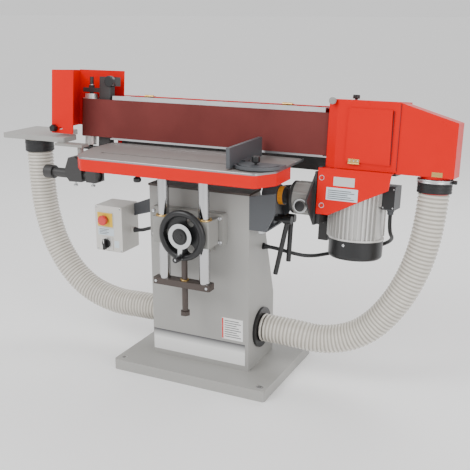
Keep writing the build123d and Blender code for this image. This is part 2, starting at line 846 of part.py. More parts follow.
keep_head("carriage_plate", carriage_plate() + slide_bar())
keep_head("motor_plate", motor_plate())
keep_head("motor_skirt", motor_skirt())
keep_head("head_beam", head_beam() + end_gusset())
keep_head("belt_plate", belt_plate() + tension_bar())
keep_head("platen", platen() + graphite_pad())
keep_head("sanding_belt", sanding_belt())
keep_head("drive_drum", drive_drum())
keep_head("motor_shaft", motor_shaft() + cooling_fan())
keep_head("idler_roller", idler_roller())
keep_head("idler_post", idler_post())
keep_head("tracking_knob", tracking_knob())
keep_head("rear_cover", rear_cover() + strap_hinge(-362, 116, 1026) + strap_hinge(232, 116, 1026))
keep_head("guard_shell", guard_shell())
keep_head("guard_panel", guard_panel())
keep_head("guard_knob", guard_knob())

keep_head("hood", hood() + chute() + chute_spigot())
keep_head("hood_door", hood_door())
keep_head("hood_top_knob", hood_knob(497, 100, hood_z1))
keep_head("hood_side_knob", side_knob())
keep_head("motor_body", motor_body() + motor_flange())
keep_head("fan_cover", fan_cover())
keep_head("terminal_box", terminal_box() + cable_gland())
keep_head("right_cuff", hose_cuff(outlet_x, outlet_y, 757, 805) + hose_clamp(outlet_x, outlet_y, 797))

for name, shape in made.items():
    export_step(shape, f"parts/{name}.step")
print(len(made), "nodes")
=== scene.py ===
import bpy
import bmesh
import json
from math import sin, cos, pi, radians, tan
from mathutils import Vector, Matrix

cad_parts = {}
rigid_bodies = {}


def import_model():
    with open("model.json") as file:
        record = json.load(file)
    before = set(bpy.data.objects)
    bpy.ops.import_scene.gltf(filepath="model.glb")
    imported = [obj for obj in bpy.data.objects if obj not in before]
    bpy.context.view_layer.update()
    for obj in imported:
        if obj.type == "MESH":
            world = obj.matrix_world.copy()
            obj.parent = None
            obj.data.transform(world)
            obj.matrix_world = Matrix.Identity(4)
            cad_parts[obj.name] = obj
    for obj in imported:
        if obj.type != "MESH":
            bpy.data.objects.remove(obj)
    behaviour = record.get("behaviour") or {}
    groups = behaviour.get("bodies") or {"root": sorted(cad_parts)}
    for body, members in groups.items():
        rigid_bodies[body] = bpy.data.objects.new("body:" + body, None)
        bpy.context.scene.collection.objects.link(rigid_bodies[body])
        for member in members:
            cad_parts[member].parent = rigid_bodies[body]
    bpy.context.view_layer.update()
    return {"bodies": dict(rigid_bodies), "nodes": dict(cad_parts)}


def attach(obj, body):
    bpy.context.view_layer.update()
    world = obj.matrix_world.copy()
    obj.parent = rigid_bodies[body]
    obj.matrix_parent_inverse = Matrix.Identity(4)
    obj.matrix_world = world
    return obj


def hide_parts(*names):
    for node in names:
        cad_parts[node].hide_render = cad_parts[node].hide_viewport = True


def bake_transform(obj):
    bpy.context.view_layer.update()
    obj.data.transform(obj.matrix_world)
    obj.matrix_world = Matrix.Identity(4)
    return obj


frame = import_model()

# %% [markdown]
# # An edge belt sander on a lift table
# The machine stands on a folded base with a tapered column. A flat table rides up and down in front of it
# on two chromed rods. Above the table a long belt head runs from an idler roller on the left to a drive drum
# under a hood on the right. The head leans back six degrees about a bearing beside the column, and two wide
# hoses bring the dust down. Nothing drawn later makes the machine bigger.

nodes, bodies = frame["nodes"], frame["bodies"]

# %% [markdown]
# ## Where we stand
# A moderately long lens from the right of the operator keeps the long belt and the column calm, with the
# table top just seen from above. The eye is at the height of a standing person's chest.

# %% Camera
target = Vector((0.0701, 0.042, 0.5189))
azimuth, elevation, distance = radians(25.84), radians(16.22), 2.95925
offset = Vector((sin(azimuth) * cos(elevation), -cos(azimuth) * cos(elevation), sin(elevation)))
camera = bpy.data.objects.new("camera", bpy.data.cameras.new("camera"))
bpy.context.scene.collection.objects.link(camera)
camera.location = target + offset * distance
camera.rotation_euler = (-offset).to_track_quat("-Z", "Y").to_euler()
camera.data.sensor_width = 36
camera.data.lens = 59.35
bpy.context.scene.camera = camera
print("camera stands at", [round(v, 3) for v in camera.location])

# %% [markdown]
# ## Finishes
# One function makes every finish. Real enamel, plastic and metal are never quite even, so a slow cloud
# shifts the shine, a fine grain gives the surface its tooth, and long grinding lines can be laid along one
# direction by stretching the grain.

# %% Finish maker
CLOUD_SCALE, CLOUD_DETAIL = 9, 5
GRAIN_SHARE = 0.5
TOOTH = 0.0006


def finish(name, colour, rough=0.4, metal=0.0, grain=900, depth=0.05, stretch=(1, 1, 1), cloud=0.06,
           coat=0.0, cells=False, dark=0.12, gloss=0.5):
    mat = bpy.data.materials.new(name)
    mat.use_nodes = True
    tree = mat.node_tree
    bsdf = tree.nodes["Principled BSDF"]
    link = tree.links.new
    bsdf.inputs["Metallic"].default_value = metal
    bsdf.inputs["Specular IOR Level"].default_value = gloss
    bsdf.inputs["Coat Weight"].default_value = coat
    bsdf.inputs["Coat Roughness"].default_value = 0.12
    place = tree.nodes.new("ShaderNodeTexCoord")
    scale = tree.nodes.new("ShaderNodeMapping")
    scale.inputs["Scale"].default_value = stretch
    link(place.outputs["Object"], scale.inputs["Vector"])
    fine = tree.nodes.new("ShaderNodeTexVoronoi" if cells else "ShaderNodeTexNoise")
    fine.inputs["Scale"].default_value = grain
    link(scale.outputs["Vector"], fine.inputs["Vector"])
    slow = tree.nodes.new("ShaderNodeTexNoise")
    slow.inputs["Scale"].default_value = CLOUD_SCALE
    slow.inputs["Detail"].default_value = CLOUD_DETAIL
    link(place.outputs["Object"], slow.inputs["Vector"])
    shine = tree.nodes.new("ShaderNodeMapRange")
    shine.inputs["To Min"].default_value = max(0.02, rough - cloud)
    shine.inputs["To Max"].default_value = min(1.0, rough + cloud)
    link(slow.outputs[0], shine.inputs["Value"])
    link(shine.outputs["Result"], bsdf.inputs["Roughness"])
    tint = tree.nodes.new("ShaderNodeMix")
    tint.data_type = "RGBA"
    tint.inputs[6].default_value = (*[c * (1 - dark) for c in colour], 1)
    tint.inputs[7].default_value = (*[min(1, c * (1 + dark * 0.5)) for c in colour], 1)
    blend_by = tree.nodes.new("ShaderNodeMath")
    blend_by.operation = "MULTIPLY_ADD"
    link(fine.outputs[0], blend_by.inputs[0])
    blend_by.inputs[1].default_value = GRAIN_SHARE
    link(slow.outputs[0], blend_by.inputs[2])
    link(blend_by.outputs[0], tint.inputs[0])
    link(tint.outputs[2], bsdf.inputs["Base Color"])
    bump = tree.nodes.new("ShaderNodeBump")
    bump.inputs["Strength"].default_value = depth
    bump.inputs["Distance"].default_value = TOOTH
    link(fine.outputs[0], bump.inputs["Height"])
    link(bump.outputs["Normal"], bsdf.inputs["Normal"])
    return mat


print("finish maker ready")

# %% [markdown]
# ### The paint and metal shelf
# Enamels come first, then the bare and plated metals, then plastics, cloth and foils. Ground and turned
# metals have their grain stretched into lines.

# %% Every finish
FINISH = {
    "red": finish("red enamel", (0.70, 0.005, 0.003), 0.30, grain=500, depth=0.04, dark=0.06, gloss=0.14),
    "red_matt": finish("red apron enamel", (0.70, 0.006, 0.004), 0.36, grain=700, depth=0.08, dark=0.06,
                       gloss=0.14),
    "light": finish("light grey enamel", (0.34, 0.335, 0.32), 0.42, grain=800, depth=0.14, dark=0.06),
    "pale": finish("pale box shell", (0.62, 0.605, 0.57), 0.44, grain=1300, depth=0.12, dark=0.05),
    "top": finish("grey table coat", (0.24, 0.215, 0.205), 0.50, grain=900, depth=0.12, dark=0.07),
    "charcoal": finish("charcoal enamel", (0.035, 0.034, 0.034), 0.45, grain=700, depth=0.15),
    "brown": finish("dark brown enamel and painted shade", (0.055, 0.040, 0.034), 0.42, grain=600, depth=0.1),
    "grey": finish("grey cast enamel", (0.27, 0.265, 0.25), 0.42, grain=260, depth=0.30, cells=True),
    "cast": finish("ground edge iron", (0.30, 0.31, 0.32), 0.34, 0.75, grain=120, depth=0.10,
                   stretch=(1, 26, 26)),
    "steel": finish("turned steel", (0.56, 0.57, 0.58), 0.26, 1.0, grain=300, depth=0.08,
                    stretch=(1, 1, 12)),
    "chrome": finish("hard chrome", (0.50, 0.50, 0.51), 0.14, 1.0, grain=200, depth=0.01, cloud=0.03,
                     dark=0.04),
    "zinc": finish("zinc sheet", (0.62, 0.63, 0.65), 0.30, 0.9, grain=60, depth=0.05, cells=True,
                   dark=0.08),
    "alloy": finish("cast alloy", (0.66, 0.65, 0.63), 0.38, 0.6, grain=420, depth=0.25, dark=0.06),
    "plastic": finish("black moulding", (0.012, 0.012, 0.013), 0.34, grain=1400, depth=0.12),
    "rubber": finish("soft black rubber", (0.010, 0.010, 0.011), 0.42, grain=1100, depth=0.10),
    "box": finish("switch box shell", (0.075, 0.080, 0.088), 0.46, grain=1300, depth=0.18),
    "belt": finish("abrasive cloth", (0.165, 0.040, 0.037), 0.85, grain=2600, depth=0.7, cells=True,
                   dark=0.30, gloss=0.1),
    "brass": finish("rolled brass", (0.70, 0.46, 0.16), 0.26, 1.0, grain=400, depth=0.05,
                    stretch=(1, 1, 10)),
    "yellow": finish("yellow plate", (0.78, 0.50, 0.03), 0.45, grain=900, depth=0.05),
    "stop": finish("stop button red", (0.62, 0.012, 0.012), 0.22, grain=300, depth=0.02, coat=0.6),
    "paper": finish("printed foil", (0.80, 0.80, 0.79), 0.42, grain=600, depth=0.03, dark=0.04),
    "blue": finish("pale foil", (0.60, 0.68, 0.74), 0.40, grain=600, depth=0.03, dark=0.05),
    "orange": finish("orange scale", (0.80, 0.30, 0.02), 0.40, grain=600, depth=0.03),
}
print(len(FINISH), "finishes")

# %% [markdown]
# ## The hoses
# A dust hose is a thin milky wall wound over a spring wire, so its outside is a row of close ribs. The
# groove at each turn is painted darker as shade. It is as thick as a saucer is wide and cannot turn sharply.
# We lay its centre line as a smooth curve, read points back from it, and sweep a ring whose radius rises and
# falls once for each turn of wire.

# %% Where the head leans
LEAN = radians(6)
PIVOT_Y, PIVOT_Z = 0.020, 0.700


def leaned(x, y, z):
    dy, dz = y - PIVOT_Y, z - PIVOT_Z
    return Vector((x, PIVOT_Y + dy * cos(LEAN) + dz * sin(LEAN), PIVOT_Z - dy * sin(LEAN) + dz * cos(LEAN)))


print("the head leans about", PIVOT_Y, PIVOT_Z)

# %% Centre line of a hose or cable


def centre_line(points, step):
    curve = bpy.data.curves.new("line", "CURVE")
    curve.dimensions = "3D"
    curve.resolution_u = 24
    spline = curve.splines.new("NURBS")
    spline.points.add(len(points) - 1)
    for p, co in zip(spline.points, points):
        p.co = (*co, 1)
    spline.order_u = 3
    spline.use_endpoint_u = True
    holder = bpy.data.objects.new("line", curve)
    bpy.context.scene.collection.objects.link(holder)
    mesh = bpy.data.meshes.new_from_object(holder)
    raw = [v.co.copy() for v in mesh.vertices]
    bpy.data.objects.remove(holder)
    out, spare = [raw[0]], 0.0
    for a, b in zip(raw, raw[1:]):
        run = (b - a).length
        while spare + run >= step:
            a = a.lerp(b, (step - spare) / run)
            out.append(a.copy())
            run, spare = (b - a).length, 0.0
        spare += run
    out.append(raw[-1])
    return out


def length_of(path):
    return sum((b - a).length for a, b in zip(path, path[1:]))


print("centre lines can be laid")

# %% Sweep a ring along the line
HOSE_SIDES, LEAD_SIDES = 32, 20


def tube(name, path, radius, mat, sides):
    verts, faces = [], []
    side = Vector((0, 1, 0))
    for i, p in enumerate(path):
        along = (path[min(i + 1, len(path) - 1)] - path[max(i - 1, 0)]).normalized()
        side = (side - along * side.dot(along)).normalized()
        up = along.cross(side)
        r = radius(i)
        for k in range(sides):
            turn = 2 * pi * k / sides
            verts.append(p + side * (r * cos(turn)) + up * (r * sin(turn)))
    for i in range(len(path) - 1):
        for k in range(sides):
            a, b = i * sides + k, i * sides + (k + 1) % sides
            faces.append((a, b, b + sides, a + sides))
    faces.append(tuple(range(sides))[::-1])
    faces.append(tuple(range(len(verts) - sides, len(verts))))
    mesh = bpy.data.meshes.new(name)
    mesh.from_pydata(verts, [], faces)
    mesh.polygons.foreach_set("use_smooth", [True] * len(mesh.polygons))
    mesh.materials.append(mat)
    obj = bpy.data.objects.new(name, mesh)
    bpy.context.scene.collection.objects.link(obj)
    return obj


# The groove colour is the hose wall darkened, as painted shade in the creases between the ribs.
groove_shade_mat = finish("painted groove shade", (0.40, 0.37, 0.32), 0.34, grain=90, depth=0.05, dark=0.10)
hose_mat = finish("milky hose wall", (0.66, 0.625, 0.56), 0.26, grain=90, depth=0.05, coat=0.3, dark=0.10)
hose_shader = hose_mat.node_tree.nodes["Principled BSDF"]
hose_shader.inputs["Subsurface Weight"].default_value = 0.25
hose_shader.inputs["Subsurface Radius"].default_value = (0.03, 0.03, 0.03)
print("tubes can be swept")

# %% Both dust hoses
HOSE_R, PITCH, STEP = 0.0535, 0.014, 0.002
RIB_DEPTH = 0.0021
GROOVE_BELOW = -0.55
right_route = [leaned(0.800, 0.075, 0.804), leaned(0.800, 0.075, 0.692), (0.772, 0.062, 0.505),
               (0.700, 0.050, 0.338), (0.592, 0.036, 0.212), (0.455, 0.016, 0.166), (0.325, 0, 0.182),
               (0.210, 0, 0.182)]
left_route = [(-0.812, 0.005, 0.834), (-0.812, 0.005, 0.705), (-0.799, 0.003, 0.520),
              (-0.735, 0.001, 0.348), (-0.612, 0, 0.220), (-0.455, 0, 0.176), (-0.335, 0, 0.182),
              (-0.220, 0, 0.182)]


def wave(i):
    return cos(2 * pi * i * STEP / PITCH)


def hose_radius(i):
    return HOSE_R - RIB_DEPTH + RIB_DEPTH * wave(i)


for name, route, moving in (("right_hose", right_route, "cradle"), ("left_hose", left_route, "table")):
    line = centre_line(route, STEP)
    hose = tube(name + "_ribbed", line, hose_radius, hose_mat, HOSE_SIDES)
    hose.data.materials.append(groove_shade_mat)
    # Faces at the bottom of each groove take the painted groove shade.
    for face in hose.data.polygons[:-2]:
        face.material_index = int(wave(face.index // HOSE_SIDES + 0.5) < GROOVE_BELOW)
    hose.data.polygons[-1].use_smooth = hose.data.polygons[-2].use_smooth = False
    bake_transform(hose)
    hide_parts(name)
    print(name, round(length_of(line), 3), "m,", round(length_of(line) / PITCH), "ribs")

# %% [markdown]
# ## The cables
# The motor lead leaves the column through a rubber seal, hangs below the bearing, passes behind the fan and
# climbs to the gland under the terminal box. The switch lead is a short bow between box and column. Each
# lead is thicker where it leaves its seal.

# %% Motor lead and switch lead
LEAD_R, LEAD_STEP = 0.007, 0.004
SEAL_EXTRA, SEAL_LENGTH = 0.004, 0.026
motor_route = [(0.204, 0.015, 0.500), (0.246, 0.015, 0.500), (0.305, 0.028, 0.484), (0.368, 0.062, 0.468),
               (0.430, 0.140, 0.470), (0.510, 0.204, 0.482), (0.590, 0.206, 0.500), (0.652, 0.160, 0.545),
               leaned(0.650, 0.103, 0.600), leaned(0.650, 0.103, 0.661)]
switch_route = [(-0.338, -0.028, 0.508), (-0.310, -0.028, 0.508), (-0.276, -0.024, 0.519),
                (-0.241, -0.020, 0.530), (-0.214, -0.020, 0.530)]


def lead_radius(i):
    return LEAD_R + SEAL_EXTRA * max(0, 1 - i * LEAD_STEP / SEAL_LENGTH) ** 1.5


for name, route, pair in (("motor_cable", motor_route, ("frame", "cradle")),
                          ("switch_cable", switch_route, None)):
    line = centre_line(route, LEAD_STEP)
    lead = tube(name + "_lead", line, lead_radius, FINISH["rubber"], LEAD_SIDES)
    if pair:
        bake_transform(lead)
    else:
        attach(lead, "frame")
    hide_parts(name)
    print(name, round(length_of(line), 3), "m")

# %% [markdown]
# ## Painting the castings and sheets
# Every solid but the hoses and leads takes its finish here. Red enamel is on the sheet work, dark enamel on
# the frames, a grey coat on the table top, chrome on the lift rods. A narrow bevel on the larger ones
# softens their edges as paint and polishing do.

# %% Finishes on the solids
wear = {
    "red": "hood hood_door rear_cover motor_skirt guard_panel guard_shell",
    "red_matt": "table_apron",
    "light": "base_pan column small_table",
    "pale": "switch_box",
    "top": "table_top",
    "charcoal": "guide_plate carriage_plate motor_plate head_beam idler_post arm_clamps tilt_shaft arm_bar",
    "box": "mitre_gauge terminal_box tilt_bracket",
    # The column cap under the table takes this dark brown as painted shade; the yoke and spindle are dark
    # brown themselves.
    "brown": "lift_yoke lift_spindle column_cap",
    "grey": "lift_housing gearbox hood_side_knob support_post",
    "steel": "handwheel_shaft motor_shaft post_thumbscrew arm_thumbscrew",
    "chrome": "lift_rods",
    "zinc": "belt_plate platen",
    "alloy": "motor_body idler_roller",
    "plastic": "dust_manifold side_rings handwheel crank_grip mitre_knob mode_knob lock_lever index_lever "
               "fan_cover tracking_knob guard_knob hood_top_knob",
    "rubber": "drive_drum right_cuff left_cuff",
    "belt": "sanding_belt",
    "stop": "estop_button",
}
for finish_name, names in wear.items():
    for name in names.split():
        solid = nodes[name]
        solid.data.materials.clear()
        solid.data.materials.append(FINISH[finish_name])
print(sum(len(v.split()) for v in wear.values()), "solids painted")

# %% Softened edges
EDGE = 0.0010
soft_edged = "base_pan column column_cap hood table_top table_apron switch_box small_table guard_shell"
for name in soft_edged.split():
    bevel = nodes[name].modifiers.new("soft edge", "BEVEL")
    bevel.width = EDGE
    bevel.segments = 2
    bevel.limit_method = "ANGLE"
    bevel.angle_limit = radians(40)
    bevel.harden_normals = True
print(len(soft_edged.split()), "solids with soft edges")

# %% [markdown]
# ## Small metalwork
# Screws, hinges, plates and rings are what make a machine believable. Two helpers are enough: one for
# bevelled plates and one for turned pieces, each placed upright or leaned with the head. Both are given
# their sizes in millimetres.

# %% Place a piece
PIVOT = Vector((0, PIVOT_Y, PIVOT_Z))
LEANED = Matrix.Translation(PIVOT) @ Matrix.Rotation(-LEAN, 4, "X") @ Matrix.Translation(-PIVOT)


def piece(name, mesh, mat, body, lean=False, soft=False):
    mesh.materials.append(mat)
    if soft:
        mesh.polygons.foreach_set("use_smooth", [True] * len(mesh.polygons))
    obj = bpy.data.objects.new(name, mesh)
    bpy.context.scene.collection.objects.link(obj)
    if lean:
        obj.matrix_world = LEANED
    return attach(obj, body)


print("pieces can be placed")

# %% Plates


def plates(name, boxes, mat, body, lean=False, edge=0.0006):
    bm = bmesh.new()
    for (x0, x1, y0, y1, z0, z1) in boxes:
        centre = Matrix.Translation(((x0 + x1) / 2000, (y0 + y1) / 2000, (z0 + z1) / 2000))
        grow = Matrix.Diagonal(((x1 - x0) / 1000, (y1 - y0) / 1000, (z1 - z0) / 1000, 1))
        bmesh.ops.create_cube(bm, size=1, matrix=centre @ grow)
    bmesh.ops.bevel(bm, geom=bm.edges[:], offset=edge, segments=2, affect="EDGES", profile=0.6)
    mesh = bpy.data.meshes.new(name)
    bm.to_mesh(mesh)
    return piece(name, mesh, mat, body, lean)


print("plates can be cut")

# %% Turned pieces
AXES = {"x": Matrix.Rotation(pi / 2, 4, "Y"), "y": Matrix.Rotation(pi / 2, 4, "X"), "z": Matrix.Identity(4)}
FACETED = 12


def ring_of(bm, place, r, h, sides):
    turns = [2 * pi * k / sides for k in range(sides)]
    return [bm.verts.new(place @ Vector((r / 1000 * cos(t), r / 1000 * sin(t), h / 1000))) for t in turns]


def turned(name, spots, profile, axis, mat, body, lean=False, sides=40):
    """profile is a list of (radius, distance along the axis); spots are the centres, all in mm."""
    bm = bmesh.new()
    for spot in spots:
        place = Matrix.Translation([v / 1000 for v in spot]) @ AXES[axis]
        rings = [ring_of(bm, place, r, h, sides) for r, h in profile]
        for a, b in zip(rings, rings[1:]):
            for k in range(sides):
                bm.faces.new((a[k], a[(k + 1) % sides], b[(k + 1) % sides], b[k]))
    bmesh.ops.remove_doubles(bm, verts=bm.verts, dist=1e-7)
    bmesh.ops.recalc_face_normals(bm, faces=bm.faces)
    mesh = bpy.data.meshes.new(name)
    bm.to_mesh(mesh)
    for p in mesh.polygons:
        p.use_smooth = sides > FACETED
    mesh.set_sharp_from_angle(angle=radians(35))
    return piece(name, mesh, mat, body, lean)


def screw_head(r, h):
    return [(0.01, h), (r * 0.45, h), (r * 0.5, h * 0.75), (r * 0.8, h), (r, h * 0.7), (r, 0)]


print("the lathe is ready")

# %% [markdown]
# ## Plates on the column
# A bright foil strip runs along the foot of the column, and its upper edge is darkened with painted shade.
# Beside the hose there is a small rating plate with a coloured bar. Neither carries any words.

# %% Foot strip
strip_foot, strip_head = 62, 147
strip = plates("foot_strip", [(-208, 186, -113.2, -112, strip_foot, strip_head)], FINISH["paper"], "frame")
shaded_foil = finish("foil with painted shade", (0.80, 0.80, 0.79), 0.36, grain=600, depth=0.03, dark=0.03)
tree = shaded_foil.node_tree
# The ramp paints shade on the strip: pale up to six tenths of its height, then darker to near black at the
# top.
ramp = tree.nodes.new("ShaderNodeValToRGB")
ramp.color_ramp.elements[0].position = 0.60
ramp.color_ramp.elements[0].color = (0.80, 0.80, 0.79, 1)
ramp.color_ramp.elements[1].position = 1.0
ramp.color_ramp.elements[1].color = (0.05, 0.05, 0.055, 1)
split = tree.nodes.new("ShaderNodeSeparateXYZ")
height = tree.nodes.new("ShaderNodeMapRange")
height.inputs["From Min"].default_value = strip_foot / 1000
height.inputs["From Max"].default_value = strip_head / 1000
where = tree.nodes.new("ShaderNodeTexCoord")
tree.links.new(where.outputs["Object"], split.inputs[0])
tree.links.new(split.outputs["Z"], height.inputs["Value"])
tree.links.new(height.outputs["Result"], ramp.inputs["Fac"])
tree.links.new(ramp.outputs["Color"], tree.nodes["Principled BSDF"].inputs["Base Color"])
strip.data.materials[0] = shaded_foil
print("foot strip laid")

# %% Rating plate and base bolts
plates("rating_foil", [(90, 177, -112.8, -112, 158, 243)], FINISH["paper"], "frame", edge=0.0002)
plates("rating_bar", [(91, 97, -113.3, -112.8, 160, 241)], FINISH["stop"], "frame", edge=0.0001)
rating_rows = [(102, 170 - 9 * (i % 3), -113.1, -112.8, 168 + 9 * i, 171 + 9 * i) for i in range(8)]
plates("rating_rows", rating_rows, FINISH["box"], "frame", edge=0.0001)
base_corners = [(sx * 289, sy * 206, 42) for sx in (-1, 1) for sy in (-1, 1)]
turned("base_bolts", base_corners, [(12.5, 0), (12.5, 0.8), (7.2, 0.8), (7.2, -4)], "z", FINISH["zinc"],
       "frame")
print("column dressed")

# %% [markdown]
# ## Switch box
# The box has a yellow plate under a red mushroom button, two pale blue labels, and a grey plate with the
# black rotary switch. A short scale is marked round the switch, and four screws hold the cover. A dark
# sheet arm carries the box out from the column.

# %% Switch box dressing
plates("estop_yellow", [(-461, -391, -101.6, -101, 528, 584)], FINISH["yellow"], "frame", edge=0.0004)
plates("switch_label", [(-462, -388, -98.8, -98, 492, 522)], FINISH["blue"], "frame", edge=0.0002)
plates("mode_label", [(-388, -366, -98.6, -98, 446, 474)], FINISH["blue"], "frame", edge=0.0002)
label_rows = [(-456, -420 + 8 * (i % 2), -99.2, -98.8, 497 + 6 * i, 499 + 6 * i) for i in range(4)]
plates("switch_label_rows", label_rows, FINISH["box"], "frame", edge=0.0001)
plates("mode_grey", [(-451, -395, -101.0, -100.5, 434, 486)], FINISH["alloy"], "frame", edge=0.0003)
mode_marks = [(-425, -421, -101.4, -101, 480, 484), (-447, -442, -101.4, -101, 459, 461),
              (-404, -399, -101.4, -101, 459, 461)]
plates("mode_marks", mode_marks, FINISH["paper"], "frame", edge=0.0001)
plates("mode_pointer", [(-424.5, -421.5, -122.6, -122, 466, 481)], FINISH["paper"], "selector", edge=0.0001)
cover_corners = [(x, -98, z) for x in (-467, -357) for z in (435, 604)]
turned("cover_screws", cover_corners, screw_head(4, 1.8), "y", FINISH["steel"], "frame", sides=20)
turned("estop_collar", [(-428, -101.6, 556)], [(17, 0), (17, 0.5), (16.4, 0.9), (12.6, 0.9)], "y",
       FINISH["box"], "frame")
print("switch box dressed")

# %% Switch arm
arm_outline = [(-349.8, 560.3), (-349.8, 608.2), (-213.7, 661.4), (-213.7, 599.6)]
arm_front, arm_back = -8.4, 0.4
bm = bmesh.new()
for x, z in arm_outline:
    for y in (arm_front, arm_back):
        bm.verts.new((x / 1000, y / 1000, z / 1000))
bmesh.ops.convex_hull(bm, input=bm.verts[:])
arm_skin = bpy.data.meshes.new("switch_arm_skin")
bm.to_mesh(arm_skin)
piece("switch_arm_skin", arm_skin, FINISH["box"], "frame")
print("arm covered")

# %% [markdown]
# ## Bearing, gearbox and lift
# The tilt bearing carries an orange scale ring. The worm gearbox is closed by a dark cap in a bright seat.
# Socket screws hold the lift housing, and the rods run in brass bushes.

# %% Bearing and gearbox dressing
turned("scale_band", [(264, 20, 700)], [(33.2, 0.5), (33.8, 0.5), (33.8, 19.5), (33.2, 19.5)], "x",
       FINISH["orange"], "frame")
turned("clamp_bolt_shine", [(226, -60, 588)], [(8.1, 0), (8.4, 0.5), (8.4, 107), (8.1, 107.5)], "z",
       FINISH["chrome"], "frame")
turned("clamp_bolt_head", [(226, -60, 572)], [(0.01, -0.3), (12, -0.3), (13.4, 0.8), (13.4, 15), (12, 16)],
       "z", FINISH["zinc"], "frame", sides=6)
turned("gearbox_seat", [(366, -44, 678)], [(25.3, -8), (25.3, 0.3), (20.4, 0.3), (20.4, -0.2)], "y",
       FINISH["steel"], "cradle", True)
turned("gearbox_dark_cap", [(366, -50, 678)], [(0.01, 0.8), (14, 0.8), (15, 0.3), (18.4, 0.3), (18.4, -0.5)],
       "y", FINISH["plastic"], "cradle", True)
print("bearing dressed")

# %% Lift dressing
THREAD_PITCH, THREAD_FOOT, THREAD_LENGTH = 5, 282, 116
housing_corners = [(x, -150, z) for x in (-170, 104) for z in (545, 634)]
turned("housing_screws", housing_corners, screw_head(7, 5), "y", FINISH["zinc"], "frame", sides=24)
turned("rod_bushes", [(x, -198, 636) for x in (-98, 66)],
       [(20.4, 0), (20.4, 3), (22, 4), (28, 4), (29, 2.5), (29, 0)], "z", FINISH["brass"], "frame")
turned("yoke_screws", [(x, -219, 388) for x in (-127, 82)], screw_head(5, 3), "y", FINISH["zinc"], "table",
       sides=20)
turned("spindle_nut", [(-17, -198, 400)], [(11.4, 0), (11.4, 5), (15, 5), (16, 4), (16, 0)], "z",
       FINISH["brass"], "table", sides=36)
one_thread = [(11.05, -0.1), (11.25, 1.2), (11.25, 2.2), (11.05, 3.4)]
threads = [(r, i * THREAD_PITCH + h) for i in range(24) for r, h in one_thread]
turned("spindle_thread", [(-17, -198, THREAD_FOOT)], [q for q in threads if q[1] < THREAD_LENGTH], "z",
       FINISH["brown"], "screw", sides=28)
turned("wheel_hub_cap", [(4, -265, 584)], [(0.01, 3), (9, 3), (10, 2), (10, 0.4), (22, 0.4), (23, 0)], "y",
       FINISH["plastic"], "wheel")
print("lift dressed")

# %% [markdown]
# ## Table edge
# The painted top ends in a bright ground lip, and a round black knob under the front apron clamps the
# height. The lip follows the table's outline with its corners rounded.

# %% Rounded outline of the table
CORNER_R = 24.2
CORNER_STEPS = 8
outline = [(-495, 76), (-497, -60), (-462, -205), (-418, -250), (283, -250), (330, -175), (330, 76)]
rounded = []
for a, b, c in zip(outline, outline[1:], outline[2:]):
    a, b, c = Vector(a), Vector(b), Vector(c)
    half = (b - a).angle(c - b) / 2
    cut = CORNER_R * tan(half)
    first, last = b + (a - b).normalized() * cut, b + (c - b).normalized() * cut
    for t in [k / CORNER_STEPS for k in range(CORNER_STEPS + 1)]:
        rounded.append((first * (1 - t) ** 2 + b * (2 * t * (1 - t)) + last * t * t) / 1000)
rounded = [Vector(outline[0]) / 1000] + rounded + [Vector(outline[-1]) / 1000]
print("outline has", len(rounded), "points")

# %% Table lip and clamp knob
lip_section = [(-0.0045, 0.8301), (-0.0014, 0.8301), (0.0001, 0.8288), (0.0001, 0.8222)]
bm = bmesh.new()
rows = []
for i, p in enumerate(rounded):
    along = (rounded[min(i + 1, len(rounded) - 1)] - rounded[max(i - 1, 0)]).normalized()
    out = Vector((-along.y, along.x)) * -1
    rows.append([bm.verts.new((*(p + out * o), z)) for o, z in lip_section])
for a, b in zip(rows, rows[1:]):
    for k in range(len(lip_section) - 1):
        bm.faces.new((a[k], a[k + 1], b[k + 1], b[k]))
bmesh.ops.recalc_face_normals(bm, faces=bm.faces)
lip = bpy.data.meshes.new("table_lip")
bm.to_mesh(lip)
piece("table_lip", lip, FINISH["cast"], "table", soft=True)
turned("height_clamp_knob", [(-190, -223, 753)],
       [(0.01, 0), (11, 0), (14, 3), (14.5, 8), (14, 14), (9, 18), (6, 20), (6, 26.2), (0.01, 26.2)], "z",
       FINISH["plastic"], "table")
print("lip and knob made")

# %% [markdown]
# ## Belt head
# Brass hinges carry the rear cover, the hood door and the chute flap. Foil labels sit on the red motor
# skirt, and a dark seam marks where the hood meets the chute. Small screws run along the rear cover and
# the platen.

# %% Hinges
KNUCKLE = 8
one_knuckle = [(4.3, 0.3), (4.3, 7.5), (3.7, 7.7), (3.7, 8.1)]
for label, x in (("left", -362), ("right", 232)):
    y, z = 116, 1026
    plates("cover_hinge_" + label, [(x - 20, x + 20, y + 3, y + 18, z - 1.8, z + 0.2)], FINISH["brass"],
           "cover", True, 0.0003)
    knuckles = [(r, h + KNUCKLE * i) for i in range(5) for r, h in one_knuckle]
    turned("cover_pin_" + label, [(x - 20, y, z)], [(0.01, 0)] + knuckles + [(0.01, 40)], "x",
           FINISH["brass"], "cover", True, 24)
plates("door_hinge", [(508.7, 549.3, 13.6, 16, 838, 852.4)], FINISH["brass"], "door", True, 0.0003)
turned("door_pin", [(508.7, 15.5, 836)],
       [(0.01, 0), (3.4, 0.4), (3.4, 13), (3.1, 13.2), (3.1, 13.8), (3.4, 14), (3.4, 26.6), (3.1, 26.8),
        (3.1, 27.4), (3.4, 27.6), (3.4, 40.2), (0.01, 40.6)], "x", FINISH["brass"], "door", True, 24)
plates("chute_hinge", [(796, 832, 23.8, 25, 814, 830)], FINISH["brass"], "head", True, 0.0003)
turned("hinge_screws", [(x, 13.6, 846) for x in (515, 529, 543)], screw_head(2.4, 0.8), "y",
       FINISH["steel"], "door", True, 16)
print("hinges hung")

